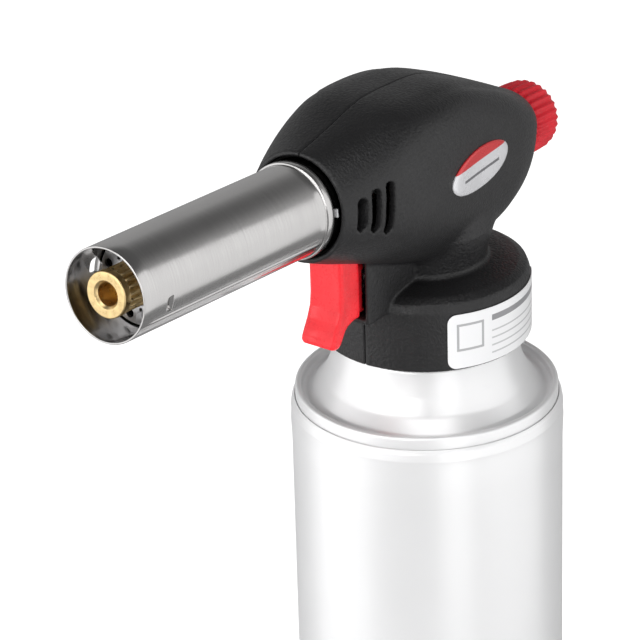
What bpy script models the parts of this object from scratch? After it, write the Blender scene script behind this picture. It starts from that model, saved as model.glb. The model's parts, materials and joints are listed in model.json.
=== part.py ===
"""Gas torch: a blowtorch head with piezo ignition, locked onto an upright gas cartridge.

Metres, +Z up. The nozzle points along -Y and the knob along +Y. The cartridge stands on z = 0, and the
origin is the middle of the whole outline there, so the cartridge's axis lies a little way along +Y.
Three empties carry the pieces: cartridge_axis, barrel_axis (its local +Z runs out through the nozzle)
and knob_axis, which is parallel to the barrel.
"""

import math

import bmesh
import bpy
import numpy as np
from mathutils import Matrix, Vector

MM = 0.001
GAP = 0.3 * MM  # between touching pieces

# Driving dimensions
CAN_R = 32.8 * MM
CAN_BEAD_R = 33.0 * MM
CAN_SHEET = 0.5 * MM
SEAM_R = 31.8 * MM
COLLAR_Z = 180.5 * MM  # the collar's lower edge
COLLAR_R = 25.2 * MM
SEAM_DROP = 13.8 * MM  # from the collar's edge down to the top of the cartridge's seam
SHELL_WALL = 2.0 * MM
BARREL_RISE = 45.9 * MM  # barrel axis over the collar's edge, at the cartridge's axis
BARREL_TILT = math.radians(4.5)  # the nozzle points a little upwards
NOZZLE_REACH = 118.0 * MM  # along the barrel axis, from the cartridge's axis
TUBE_R = 10.9 * MM
TUBE_SHEET = 0.5 * MM
TUBE_BACK = 41.0 * MM
KNOB_DROP = 3.2 * MM  # the knob's axis under the barrel's
KNOB_R = 9.0 * MM
KNOB_BACK = 46.5 * MM
SHELL_SPLIT = 0.5 * GAP  # each half's distance from the middle plane

# The outline's middle: nozzle's lower rim in front, knob's upper edge behind
FRONT_Y = -NOZZLE_REACH * math.cos(BARREL_TILT) - TUBE_R * math.sin(BARREL_TILT)
BACK_Y = KNOB_BACK * math.cos(BARREL_TILT) + (KNOB_R - KNOB_DROP) * math.sin(BARREL_TILT)
CAN_Y = -(FRONT_Y + BACK_Y) / 2

# Sections of the head, across the barrel axis: (reach, half width, top, bottom)
HEAD_SECTIONS = [
    (49.6, 13.0, 13.0, 13.0),
    (45.0, 14.9, 14.3, 14.5),
    (38.0, 17.0, 16.5, 16.4),
    (28.0, 18.4, 19.5, 19.2),
    (15.0, 18.8, 20.5, 22.8),
    (4.0, 18.0, 20.1, 24.6),
    (-8.0, 17.4, 16.8, 24.8),
    (-20.0, 16.0, 12.3, 22.5),
    (-30.0, 12.4, 8.1, 18.2),
    (-36.0, 7.9, 5.6, 13.0),
]
HEAD_FRONT, HEAD_BACK = HEAD_SECTIONS[0][0], HEAD_SECTIONS[-1][0]
SCREW_SPOTS = [(24, 14.4), (24, -14.6), (-4, 13.3), (-17, -16.0)]  # (reach, height) in mm, barrel frame
VENTS = [(44.35, 0.1, 4.0), (40.75, 0.35, 5.25), (36.9, 0.2, 6.3)]  # (reach, middle, half length) in mm
BADGE = (3.0, 0.95, 12.8, 5.15)  # reach, height, half length and half height in mm
LABEL_ANGLES = (-43.5, 43.5)
LABEL_HEIGHTS = (0.6, 14.6)


# ---------------------------------------------------------------- helpers


def clear_scene():
    for obj in list(bpy.data.objects):
        bpy.data.objects.remove(obj)


def material(name, colour, roughness, metallic=0.0):
    made = bpy.data.materials.new(name)
    made.use_nodes = True
    shader = made.node_tree.nodes["Principled BSDF"]
    shader.inputs["Base Color"].default_value = (*colour, 1.0)
    shader.inputs["Roughness"].default_value = roughness
    shader.inputs["Metallic"].default_value = metallic
    return made


def empty(name, location, parent=None, tilt=0.0):
    made = bpy.data.objects.new(name, None)
    made.location = location
    made.rotation_euler = (tilt, 0.0, 0.0)
    made.parent = parent
    made.empty_display_size = 0.01
    bpy.context.scene.collection.objects.link(made)
    return made


def as_object(name, bm, parent, mat=None, smooth=35.0):
    """The bmesh as a named object under its empty, its faces turned outwards."""
    bmesh.ops.recalc_face_normals(bm, faces=bm.faces)
    mesh = bpy.data.meshes.new(name)
    bm.to_mesh(mesh)
    bm.free()
    mesh.shade_smooth()
    mesh.set_sharp_from_angle(angle=math.radians(smooth))
    made = bpy.data.objects.new(name, mesh)
    made.parent = parent
    bpy.context.scene.collection.objects.link(made)
    if mat:
        mesh.materials.append(mat)
    return made


def helper(obj):
    """Marks an object as a cutter or a guide."""
    obj.hide_render = True
    obj.display_type = "WIRE"
    return obj


def boolean(obj, other, operation="DIFFERENCE", solver="EXACT"):
    step = obj.modifiers.new(other.name, "BOOLEAN")
    step.object = other
    step.operation = operation
    step.solver = solver


def turned_mesh(outline, segments, start=0.0):
    """A closed outline of (radius, height) turned about local Z."""
    bm = bmesh.new()
    rings = []
    for radius, height in outline:
        if radius < 1e-7:
            rings.append([bm.verts.new((0, 0, height))] * segments)
            continue
        angles = [start + 2 * math.pi * k / segments for k in range(segments)]
        rings.append([bm.verts.new((radius * math.cos(a), radius * math.sin(a), height)) for a in angles])
    for low, high in zip(rings, rings[1:] + rings[:1]):
        for k in range(segments):
            ring = [low[k], low[(k + 1) % segments], high[(k + 1) % segments], high[k]]
            corners = [v for i, v in enumerate(ring) if v not in ring[:i]]
            if len(corners) > 2:
                bm.faces.new(corners)
    return bm


def turned(name, outline, parent, mat=None, segments=48):
    """A turned piece; the outline is in millimetres."""
    return as_object(name, turned_mesh([(r * MM, z * MM) for r, z in outline], segments), parent, mat)


def arc(centre, radius, start, end, steps):
    """Points of an arc, angles in degrees."""
    angles = np.radians(np.linspace(start, end, steps + 1))
    return [(centre[0] + radius * math.cos(a), centre[1] + radius * math.sin(a)) for a in angles]


def box_mesh(low, high):
    bm = bmesh.new()
    bmesh.ops.create_cube(bm, size=1.0)
    low, high = Vector(low) * MM, Vector(high) * MM
    for v in bm.verts:
        v.co = Vector((low[i] + (v.co[i] + 0.5) * (high[i] - low[i]) for i in range(3)))
    return bm


def box(name, low, high, parent, mat=None, bevel=0.0):
    """A box between two corners in millimetres, its edges rounded when bevel is given."""
    made = as_object(name, box_mesh(low, high), parent, mat)
    if bevel:
        rounding = made.modifiers.new("rounded", "BEVEL")
        rounding.width = bevel * MM
        rounding.segments = 2
    return made


def extruded_mesh(outline, low, high):
    """A closed outline of (y, z), extruded along X; millimetres."""
    bm = bmesh.new()
    near = [bm.verts.new((high * MM, y * MM, z * MM)) for y, z in outline]
    far = [bm.verts.new((low * MM, y * MM, z * MM)) for y, z in outline]
    bm.faces.new(near)
    bm.faces.new(far[::-1])
    for k in range(len(outline)):
        n = (k + 1) % len(outline)
        bm.faces.new((near[k], far[k], far[n], near[n]))
    return bm


def rods_mesh(rods, segments=16):
    """Separate cylinders in one mesh: (start, end, radius), millimetres."""
    bm = bmesh.new()
    for start, end, radius in rods:
        start, end = Vector(start) * MM, Vector(end) * MM
        run = end - start
        turn = run.to_track_quat("Z", "Y").to_matrix().to_4x4()
        place = Matrix.Translation((start + end) / 2) @ turn
        bmesh.ops.create_cone(
            bm, cap_ends=True, segments=segments, radius1=radius * MM, radius2=radius * MM,
            depth=run.length, matrix=place,
        )
    return bm


def add_mesh(bm, part):
    """Adds another bmesh's shapes to this one."""
    mesh = bpy.data.meshes.new("part")
    part.to_mesh(mesh)
    part.free()
    bm.from_mesh(mesh)
    bpy.data.meshes.remove(mesh)


def sweep(name, points, radius, parent, mat, sides=2):
    """A round wire along a list of points in millimetres."""
    curve = bpy.data.curves.new(name, "CURVE")
    curve.dimensions = "3D"
    curve.bevel_depth = radius * MM
    curve.bevel_resolution = sides
    curve.use_fill_caps = True
    spline = curve.splines.new("POLY")
    spline.points.add(len(points) - 1)
    for spot, point in zip(spline.points, points):
        spot.co = (*(Vector(point) * MM), 1.0)
    made = bpy.data.objects.new(name, curve)
    made.parent = parent
    bpy.context.scene.collection.objects.link(made)
    curve.materials.append(mat)
    return made


def smooth_path(points, steps):
    """A Catmull-Rom curve through the points, with this many steps between neighbours."""
    spots = [Vector(p) for p in points]
    spots = [2 * spots[0] - spots[1], *spots, 2 * spots[-1] - spots[-2]]
    path = []
    for a, b, c, d in zip(spots, spots[1:], spots[2:], spots[3:]):
        for k in range(steps):
            t = k / steps
            path.append(
                0.5 * ((2 * b) + (c - a) * t + (2 * a - 5 * b + 4 * c - d) * t**2
                       + (3 * b - a - 3 * c + d) * t**3)
            )
    return [*path, spots[-2]]


# ---------------------------------------------------------------- the cartridge


def make_cartridge(axis, mats):
    seam = COLLAR_Z / MM - SEAM_DROP / MM
    r, bead, sheet = CAN_R / MM, CAN_BEAD_R / MM, CAN_SHEET / MM
    wall = [(r, 4.4), (r, seam - 14.2), (bead, seam - 7.7), (bead - 0.5, seam - 5.6), (31.0, seam - 4.0)]
    inside = [(x - sheet, z) for x, z in wall[::-1]]
    turned("can_body", wall + inside, axis, mats["aluminium"], 36)

    ring = arc((31.0, seam - 0.8), 0.8, 0, 180, 4)
    dome = [(30.2, seam - 1.8), (29.0, seam - 2.4), (27.6, seam - 1.2), (25.2, seam + 1.6),
            (23.4, seam + 5.4), (22.4, seam + 9.6), (22.0, seam + 12.2), (21.2, seam + 13.0),
            (19.6, seam + 12.8), (16.4, seam + 11.2), (14.0, seam + 10.3), (12.0, seam + 10.4)]
    under = [(12.0, seam + 9.8), (14.2, seam + 9.7), (16.7, seam + 10.6), (19.7, seam + 12.2),
             (21.0, seam + 12.4), (21.4, seam + 12.0), (21.8, seam + 9.5), (22.8, seam + 5.2),
             (24.7, seam + 1.3), (27.3, seam - 1.8), (29.0, seam - 3.0), (30.6, seam - 2.6),
             (30.6, seam - 3.6), (31.8, seam - 3.6)]
    turned("can_top_dome", ring + dome + under, axis, mats["steel_white"], 36)

    base = [(33.3, 1.0), (32.9, 0.0), (31.7, 0.0), (31.3, 1.0), (31.3, 4.6), (26.0, 8.0), (16.0, 11.0),
            (0.0, 12.4)]
    base += [(0.0, 13.0), (16.0, 11.6), (26.2, 8.6), (31.6, 5.2), (31.9, 4.1), (33.3, 4.1)]
    turned("can_base", base, axis, mats["steel_white"], 36)

    top = COLLAR_Z / MM
    cup = [(11.6, top - 4.6), (11.6, top - 1.2), (12.4, top + 0.8), (14.2, top + 0.8), (15.0, top + 1.4),
           (15.0, top + 2.2), (14.4, top + 2.8), (11.6, top + 2.8), (9.6, top + 1.8), (8.8, top - 3.6),
           (4.9, top - 3.6), (4.6, top - 0.6), (2.4, top - 0.6), (2.4, top - 1.6), (4.0, top - 1.6),
           (4.2, top - 4.6)]
    flange = turned("valve_cup", cup, axis, mats["tinplate"], 24)
    notch = helper(box("notch_cutter", (-2.5, 12.6, top - 0.5), (2.5, 17, top + 4), axis))
    boolean(flange, notch)

    housing = [(4.0, top - 5.0), (4.0, top - 15), (2.6, top - 17), (2.6, top - 22), (1.2, top - 22),
               (1.2, top - 16.4), (3.0, top - 15), (3.0, top - 5.0)]
    turned("valve_housing", housing, axis, mats["acetal"], 24)
    seal = [(2.2, top - 3.2), (3.7, top - 3.2), (3.7, top - 2.0), (2.2, top - 2.0)]
    turned("valve_seal", seal, axis, mats["rubber"], 24)
    stem = [(0.0, top - 8.0), (2.4, top - 8.0), (2.4, top - 6.8), (1.9, top - 6.4), (1.9, top + 3.2),
            (0.9, top + 3.2), (0.9, top - 2.0), (0.0, top - 2.0)]
    turned("valve_stem", stem, axis, mats["acetal"], 24)
    turns, low, high = 4, top - 14.2, top - 8.5
    coil = [(2.0 * math.cos(a), 2.0 * math.sin(a), low + (high - low) * a / (2 * math.pi * turns))
            for a in np.linspace(0, 2 * math.pi * turns, 8 * turns + 1)]
    sweep("valve_spring", coil, 0.3, axis, mats["steel"], 1)
    route = [(0, 0, top - 22.4), (0, 0, top - 30), (0, 3, top - 37), (0, 10, top - 38), (0, 20, top - 33)]
    sweep("vapour_tube", smooth_path(route, 3), 1.2, axis, mats["acetal"], 1)


# ---------------------------------------------------------------- the housing


def head_shape(reach):
    """Half width, top and bottom of the head at a reach along the barrel, in millimetres."""
    spots = HEAD_SECTIONS[::-1]
    x = np.array([p[0] for p in spots])
    slopes = [np.gradient([p[k] for p in spots], x) for k in (1, 2, 3)]
    i = int(np.clip(np.searchsorted(x, reach) - 1, 0, len(x) - 2))
    step = x[i + 1] - x[i]
    t = (reach - x[i]) / step
    shape = []
    for k in (1, 2, 3):
        a, b, ma, mb = spots[i][k], spots[i + 1][k], slopes[k - 1][i] * step, slopes[k - 1][i + 1] * step
        shape.append((2 * t**3 - 3 * t**2 + 1) * a + (t**3 - 2 * t**2 + t) * ma
                     + (3 * t**2 - 2 * t**3) * b + (t**3 - t**2) * mb)
    return shape


def boxiness(reach):
    """Round at both mouths, squarer between them: the powers of the upper and the lower curve."""
    share = max(0.0, math.sin(math.pi * (HEAD_FRONT - reach) / (HEAD_FRONT - HEAD_BACK)))
    return 2 + 1.95 * share**1.15, 2 + 0.45 * share**0.7


def head_section(reach, inset, count):
    """Points of one section of the head, in the barrel frame, millimetres."""
    width, top, bottom = (v - inset for v in head_shape(reach))
    power_top, power_bottom = boxiness(reach)
    points = []
    for k in range(count):
        a = 2 * math.pi * k / count
        power = power_top if math.sin(a) > 0 else power_bottom
        x = math.copysign(abs(math.cos(a)) ** (2 / power), math.cos(a)) * width
        height = top if math.sin(a) > 0 else bottom
        y = math.copysign(abs(math.sin(a)) ** (2 / power), math.sin(a)) * height
        points.append((x * MM, y * MM, reach * MM))
    return points


def head_mesh(front, back, steps, inset=0.0, count=40):
    bm = bmesh.new()
    reaches = np.linspace(front, back, steps)
    rings = [[bm.verts.new(p) for p in head_section(r, inset, count)] for r in reaches]
    for near, far in zip(rings, rings[1:]):
        for k in range(count):
            n = (k + 1) % count
            bm.faces.new((near[k], near[n], far[n], far[k]))
    bm.faces.new(rings[0])
    bm.faces.new(rings[-1])
    return bm


def lower_outline(inset=0.0):
    """Collar, shoulder, groove and neck, as (radius, height over the collar's edge) in millimetres."""
    r = COLLAR_R / MM
    shoulder = arc((r - 3.0, 15.0), 3.0, 0, 90, 4)
    neck = [(20.0, 19.3), (18.1, 21.5), (17.3, 24.2), (17.0, 27.0), (17.0, 34.0)]
    if not inset:
        return [(0, 0), (r, 0), *shoulder, *neck, (0, 34.0)]
    return [(0, -1), (r - inset, -1), (r - inset, 13.5), (r - 4.0, 15.9), (17.0, 15.9), (15.2, 18.6),
            (14.0, 22.5), (14.0, 32.0), (0, 32.0)]


def make_housing(barrel, torch, mats):
    wall = SHELL_WALL / MM
    outer = helper(as_object("housing_guide", head_mesh(HEAD_FRONT, HEAD_BACK, 18, count=32), barrel))
    lower = helper(turned("lower_guide", lower_outline(), torch, None, 36))
    block = helper(as_object("block_guide", box_mesh((-6.6, -32.3, 14.7), (6.6, -10, 34)), torch))
    boolean(outer, lower, "UNION", "MANIFOLD")
    boolean(outer, block, "UNION", "MANIFOLD")

    hollow = helper(as_object("hollow_guide", head_mesh(HEAD_FRONT - 7.0, HEAD_BACK + 2, 9, wall, 16), barrel))
    lower_hollow = helper(turned("lower_hollow_guide", lower_outline(wall), torch, None, 20))
    block_hollow = helper(box("block_hollow_guide", (-5.6, -35, 16.2), (5.6, -12, 29.6), torch))
    posts = helper(as_object(
        "post_guide", rods_mesh([((-25, y, s), (25, y, s), 2.9) for s, y in SCREW_SPOTS], 12), barrel))
    trigger_slot = helper(box("trigger_slot_guide", (-5.6, -42, 16.2), (5.6, -28.6, 32.6), torch))
    for other in (lower_hollow, block_hollow, trigger_slot):
        boolean(hollow, other, "UNION", "MANIFOLD")
    boolean(hollow, posts, solver="MANIFOLD")
    boolean(outer, hollow, solver="MANIFOLD")

    mouths = helper(as_object("mouth_guide", rods_mesh([((0, 0, 40), (0, 0, 60), 12.0)], 40), barrel))
    back = helper(as_object(
        "knob_mouth_guide",
        rods_mesh([((0, -KNOB_DROP / MM, -30), (0, -KNOB_DROP / MM, -45), 6.6)], 32), barrel))
    vents = bmesh.new()
    for reach, middle, half in VENTS:
        ends = arc((middle + half - 1.3, reach), 1.3, -90, 90, 5)
        ends += arc((middle - half + 1.3, reach), 1.3, 90, 270, 5)
        for low, high in ((-24, -12.6), (12.6, 24)):
            add_mesh(vents, extruded_mesh(ends, low, high))
    vent_guide = helper(as_object("vent_guide", vents, barrel))
    for other in (mouths, back, vent_guide):
        boolean(outer, other, solver="MANIFOLD")

    heads = rods_mesh([((-25, y, s), (-9.5, y, s), 3.2) for s, y in SCREW_SPOTS], 16)
    counterbores = helper(as_object("counterbore_guide", heads, barrel))
    shanks = rods_mesh([((-12, y, s), (9.0, y, s), 1.5) for s, y in SCREW_SPOTS], 10)
    pilot = helper(as_object("pilot_guide", shanks, barrel))

    split = SHELL_SPLIT / MM
    for name, low, high in (("body_shell_right", split, 40), ("body_shell_left", -40, -split)):
        shell = as_object(name, box_mesh((low, -70, -5), (high, 60, 80)), torch, mats["black_plastic"])
        boolean(shell, outer, "INTERSECT", "MANIFOLD")
        if low < 0:
            boolean(shell, counterbores, solver="MANIFOLD")
        boolean(shell, pilot, solver="MANIFOLD")
    for k, (s, y) in enumerate(SCREW_SPOTS):
        outline = [(0, 8.4), (1.0, 7.4), (1.2, -9.8), (2.7, -9.8), (2.7, -10.6), (1.8, -11.6), (0, -11.8)]
        screw = turned(f"shell_screw_{k + 1}", outline, barrel, mats["steel"], 16)
        screw.location = (0, y * MM, s * MM)
        screw.rotation_euler = (0, math.pi / 2, 0)


# ---------------------------------------------------------------- burner


def make_burner(barrel, mats):
    tip, radius, sheet = NOZZLE_REACH / MM, TUBE_R / MM, TUBE_SHEET / MM
    back = TUBE_BACK / MM
    tube = [(radius, back), (radius, tip), (radius - sheet, tip), (radius - sheet, back)]
    turned("flame_tube", tube, barrel, mats["stainless"], 40)

    nozzle = [(5.1, tip - 20), (5.1, tip - 0.9), (4.6, tip - 0.4), (4.1, tip - 0.4), (3.7, tip - 1.0),
              (2.65, tip - 1.0), (2.65, tip - 9), (1.6, tip - 10), (1.6, tip - 13), (4.3, tip - 13.4),
              (4.3, tip - 20)]
    turned("burner_nozzle", nozzle, barrel, mats["brass"], 28)
    pipe = [(5.4, 19), (5.4, 24), (4.0, 28), (4.0, tip - 13.8), (3.2, tip - 13.8), (3.2, 28.5),
            (4.6, 24.4), (4.6, 19)]
    turned("mixing_tube", pipe, barrel, mats["brass"], 24)

    disc_at = tip - 11.5
    disc = turned("flame_holder", [(5.4, disc_at - 0.5), (10.1, disc_at - 0.5), (10.1, disc_at + 0.5),
                                   (5.4, disc_at + 0.5)], barrel, mats["steel"], 32)
    holes = []
    for k in range(10):
        a = math.radians(36 * k + 18)
        x, y = 7.8 * math.cos(a), 7.8 * math.sin(a)
        size = 2.2 if k == 2 else 1.2
        holes.append(((x, y, disc_at - 2), (x, y, disc_at + 2), size))
    boolean(disc, helper(as_object("disc_hole_guide", rods_mesh(holes, 8), barrel)))

    ring_at = 45.0
    ring = turned("tube_baffle", [(4.3, ring_at - 0.6), (10.1, ring_at - 0.6), (10.1, ring_at + 0.6),
                                  (4.3, ring_at + 0.6)], barrel, mats["steel"], 32)
    holes = []
    for k in range(8):
        a = math.radians(45 * k)
        x, y = 7.1 * math.cos(a), 7.1 * math.sin(a)
        holes.append(((x, y, ring_at - 2), (x, y, ring_at + 2), 2.2 if k == 2 else 1.8))
    boolean(ring, helper(as_object("baffle_hole_guide", rods_mesh(holes, 8), barrel)))

    bore = radius + 0.3
    clamp = [(bore, 42.0), (12.9, 42.0), (12.9, 38.5), (9.0, 38.5), (9.0, 40.0), (bore, 40.0)]
    turned("tube_clamp", clamp, barrel, mats["steel"], 32)

    # The electrode runs beside the mixing tube, straight above it
    above = (0, 7.8 * MM, 0)
    turned("electrode_insulator", [(0.8, 46.5), (1.7, 46.5), (1.7, tip - 16), (0.8, tip - 16)],
           barrel, mats["ceramic"], 16).location = above
    turned("electrode", [(0, 44), (0.5, 44), (0.5, tip - 5), (0, tip - 5)],
           barrel, mats["steel"], 12).location = above


# ---------------------------------------------------------------- valve and knob


def make_valve(torch, barrel, knob_axis, mats):
    rise = BARREL_RISE / MM
    stalk = rods_mesh([((0, 0, 9.0), (0, 0, rise - 3), 5.0)], 24)
    body = as_object("valve_body", stalk, torch, mats["brass"])
    bosses = helper(as_object("valve_boss_guide", rods_mesh([
        ((0, 0, 14), (0, 0, -2), 4.6)], 24), barrel))
    rear = helper(as_object("valve_rear_guide", rods_mesh([((0, 0, 6), (0, 0, -27), 5.8)], 24), knob_axis))
    foot_outline = [(0, 5.2), (8.0, 5.2), (8.0, 8.4), (5.0, 9.6), (0, 9.6)]
    foot = helper(turned("valve_foot_guide", foot_outline, torch))
    for other in (bosses, rear, foot):
        boolean(body, other, "UNION")
    riser = rods_mesh([((0, 0, -1), (0, 0, rise - 4), 1.4)], 12)
    bores = helper(as_object("valve_bore_guide", riser, torch))
    needle_bore = helper(turned("needle_bore_guide", [
        (0, 4), (1.2, 4), (1.2, 1.5), (2.4, 0.5), (2.4, -20), (3.9, -20), (3.9, -30), (0, -30)],
        knob_axis, None, 24))
    jet_bore = helper(as_object("jet_bore_guide", rods_mesh([((0, 0, 16), (0, 0, -2.6), 1.9)], 16), barrel))
    socket = helper(as_object("inlet_guide", rods_mesh([((0, 0, 0), (0, 0, 7.6), 3.4)], 20), torch))
    for other in (bores, needle_bore, jet_bore, socket):
        boolean(body, other)
    turned("inlet_seal", [(2.2, 3.6), (3.1, 3.6), (3.1, 7.2), (2.2, 7.2)], torch, mats["rubber"], 24)
    jet = [(0.5, 8.0), (1.6, 8.0), (1.6, 14.3), (3.4, 14.3), (3.4, 17.0), (1.6, 18.5), (0.5, 18.5)]
    turned("gas_jet", jet, barrel, mats["brass"], 16)

    spindle = [(0, 2.6), (0.5, 1.2), (2.1, -0.6), (2.1, -42.5), (0, -42.5)]
    turned("needle_spindle", spindle, knob_axis, mats["brass"], 20)
    turned("spindle_oring", [(2.4, -24.5), *arc((3.0, -25.5), 0.6, 90, -90, 4), (2.4, -26.5)],
           knob_axis, mats["rubber"], 20)
    nut = [(2.5, -27.4), (5.6, -27.4), (5.6, -31.4), (2.5, -31.4)]
    turned("gland_nut", nut, knob_axis, mats["brass"], 6)

    flutes, end = 28, KNOB_BACK / MM
    bm = bmesh.new()
    levels = [(-36.4, 8.5), (-37.4, 9.0), (-44.6, 8.7), (-45.9, 8.1), (-end, 7.2)]
    rings = []
    for z, r in levels:
        ring = []
        for k in range(flutes * 2):
            a = math.pi * k / flutes
            depth = 0.5 if k % 2 and r > 7.5 else 0.0
            spread = (r - depth) * MM
            ring.append(bm.verts.new((spread * math.cos(a), spread * math.sin(a), z * MM)))
        rings.append(ring)
    for near, far in zip(rings, rings[1:]):
        for k in range(len(near)):
            n = (k + 1) % len(near)
            bm.faces.new((near[k], near[n], far[n], far[k]))
    bm.faces.new(rings[0])
    bm.faces.new(rings[-1])
    knob = as_object("knob", bm, knob_axis, mats["crimson"])
    bore = [(0, -30), (5.9, -30), (5.9, -39), (2.4, -39), (2.4, -44.4), (0, -44.4)]
    boolean(knob, helper(turned("knob_bore_guide", bore, knob_axis, None, 24)))
    sleeve = helper(turned("knob_hub_guide", [(2.4, -32.0), (4.9, -32.0), (4.9, -39.5), (2.4, -39.5)],
                           knob_axis, None, 24))
    boolean(knob, sleeve, "UNION")


# ---------------------------------------------------------------- trigger and ignition


def make_ignition(torch, mats):
    outline = [(-40.0, 32.2), (-39.9, 24.0), (-40.3, 20.8), (-41.4, 18.2), (-42.8, 16.0), (-43.8, 14.0),
               (-43.9, 12.8), (-43.1, 11.8), (-41.6, 11.5), (-40.4, 12.2), (-39.2, 14.4), (-37.6, 16.0),
               (-35.4, 16.7), (-29.4, 16.9), (-29.4, 29.2), (-33.8, 29.2), (-33.8, 32.2)]
    trigger = as_object("trigger", extruded_mesh(outline, -4.8, 4.8), torch, mats["red_plastic"])
    pocket = box("trigger_pocket_guide", (-4.0, -30.6, 18.0), (4.0, -20, 28.0), torch)
    boolean(trigger, helper(pocket))
    rod = [(0, 30.3), (1.8, 30.3), (1.8, 21.0), (0, 21.0)]
    plunger = turned("piezo_plunger", rod, torch, mats["acetal"], 16)
    plunger.location = (0, 0, 23.0 * MM)
    plunger.rotation_euler = (math.pi / 2, 0, 0)
    piezo = box("piezo_igniter", (-4.4, -24.4, 18.4), (4.4, -6.0, 27.4), torch, mats["black_plastic_plain"])
    bore = as_object("piezo_bore_guide", rods_mesh([((0, -30, 23), (0, -15, 23), 2.1)], 16), torch)
    boolean(piezo, helper(bore))
    turns, low, high = 4, -24.9, -30.0
    coil = [(3.0 * math.cos(a), low + (high - low) * a / (2 * math.pi * turns), 23 + 3.0 * math.sin(a))
            for a in np.linspace(0, 2 * math.pi * turns, 8 * turns + 1)]
    sweep("trigger_spring", coil, 0.35, torch, mats["steel"], 1)


def make_lead(torch, mats):
    """The high-voltage wire, from the top of the piezo to the electrode's back end."""
    route = [(0, -9, 28.6), (2, -9.4, 31), (8.5, -14, 35), (9.5, -22, 42), (8.0, -32, 50), (4, -39, 55.5),
             (0, -42.3, 57.0)]
    sweep("ignition_lead", smooth_path(route, 3), 0.9, torch, mats["rubber"], 1)


# ---------------------------------------------------------------- coupling and labels


def make_coupling(torch, mats):
    flat = [(8.6, 5.2), (21.5, 5.2), (21.5, 6.4), (8.6, 6.4)]
    plate = turned("bayonet_plate", flat, torch, mats["steel"], 32)
    hook = [(17.2, -0.4), (17.2, 5.8), (16.0, 5.8), (16.0, 0.4), (13.4, 0.4), (13.4, -0.4)]
    for k in range(3):
        tab = as_object(f"tab_guide_{k + 1}", extruded_mesh(hook, -3, 3), torch)
        tab.rotation_euler = (0, 0, math.radians(120 * k))
        boolean(plate, helper(tab), "UNION")
    for k in range(2):
        screw = turned(f"plate_screw_{k + 1}", [(0, 4.0), (1.8, 4.0), (2.0, 4.9), (0, 4.9)], torch,
                       mats["steel"], 16)
        screw.location = ((18.6 if k else -18.6) * MM, 3 * MM, 0)


def make_label(torch, mats):
    """A curved plate round the collar's side."""
    inner = COLLAR_R / MM + GAP / MM
    low, high = LABEL_HEIGHTS
    bm = bmesh.new()
    rows = []
    for a in np.radians(np.linspace(*LABEL_ANGLES, 13)):
        rows.append([bm.verts.new(Vector((r * math.cos(a), r * math.sin(a), z)) * MM)
                     for r, z in ((inner, low), (inner + 0.4, low), (inner + 0.4, high), (inner, high))])
    for near, far in zip(rows, rows[1:]):
        for k in range(4):
            n = (k + 1) % 4
            bm.faces.new((near[k], near[n], far[n], far[k]))
    bm.faces.new(rows[0])
    bm.faces.new(rows[-1])
    as_object("collar_label", bm, torch, mats["label"])


def make_badge(barrel, mats):
    """An oval plate, bent to follow the head's right flank."""
    reach, height, half_long, half_high = BADGE
    count = 28
    bm = bmesh.new()
    layers = []
    for level in (GAP / MM, GAP / MM + 0.5):
        hub = bm.verts.new(Vector((flank(reach, height) + level, height, reach)) * MM)
        rings = []
        for share in (0.5, 1.0):
            ring = []
            for a in np.linspace(0, 2 * math.pi, count, endpoint=False):
                s, n = reach + half_long * share * math.cos(a), height + half_high * share * math.sin(a)
                ring.append(bm.verts.new(Vector((flank(s, n) + level, n, s)) * MM))
            rings.append(ring)
        layers.append(rings)
        for k in range(count):
            n = (k + 1) % count
            bm.faces.new((hub, rings[0][k], rings[0][n]))
            bm.faces.new((rings[0][k], rings[1][k], rings[1][n], rings[0][n]))
    for k in range(count):
        n = (k + 1) % count
        bm.faces.new((layers[0][1][k], layers[0][1][n], layers[1][1][n], layers[1][1][k]))
    as_object("side_badge", bm, barrel, mats["badge"])


def flank(reach, height):
    """How far the head's side stands out from the middle plane at a point, millimetres."""
    width, top, bottom = head_shape(reach)
    power = boxiness(reach)[0 if height > 0 else 1]
    share = abs(height) / (top if height > 0 else bottom)
    return width * (1 - share**power) ** (1 / power)


def main():
    clear_scene()
    mats = {
        "black_plastic": material("black_plastic", (0.02, 0.02, 0.022), 0.5),
        "black_plastic_plain": material("black_plastic_plain", (0.03, 0.03, 0.03), 0.4),
        "red_plastic": material("red_plastic", (0.75, 0.02, 0.03), 0.3),
        "crimson": material("crimson", (0.55, 0.02, 0.04), 0.4),
        "stainless": material("stainless", (0.62, 0.61, 0.6), 0.28, 1.0),
        "brass": material("brass", (0.72, 0.5, 0.2), 0.3, 1.0),
        "steel": material("steel", (0.55, 0.55, 0.56), 0.35, 1.0),
        "steel_white": material("steel_white", (0.85, 0.85, 0.87), 0.3, 0.6),
        "aluminium": material("aluminium", (0.86, 0.86, 0.88), 0.35, 0.6),
        "tinplate": material("tinplate", (0.7, 0.7, 0.68), 0.3, 1.0),
        "acetal": material("acetal", (0.8, 0.8, 0.76), 0.4),
        "rubber": material("rubber", (0.03, 0.03, 0.03), 0.7),
        "ceramic": material("ceramic", (0.85, 0.82, 0.76), 0.5),
        "label": material("label", (0.85, 0.85, 0.85), 0.35),
        "badge": material("badge", (0.75, 0.75, 0.76), 0.3, 0.5),
    }
    cartridge = empty("cartridge_axis", (0, CAN_Y, 0))
    torch = empty("torch_axis", (0, 0, COLLAR_Z), cartridge)
    barrel = empty("barrel_axis", (0, 0, BARREL_RISE), torch, math.pi / 2 - BARREL_TILT)
    knob_axis = empty("knob_axis", (0, -KNOB_DROP, 0), barrel)
    make_cartridge(cartridge, mats)
    make_housing(barrel, torch, mats)
    make_burner(barrel, mats)
    make_valve(torch, barrel, knob_axis, mats)
    make_ignition(torch, mats)
    make_lead(torch, mats)
    make_coupling(torch, mats)
    make_label(torch, mats)
    make_badge(barrel, mats)


main()
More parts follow.
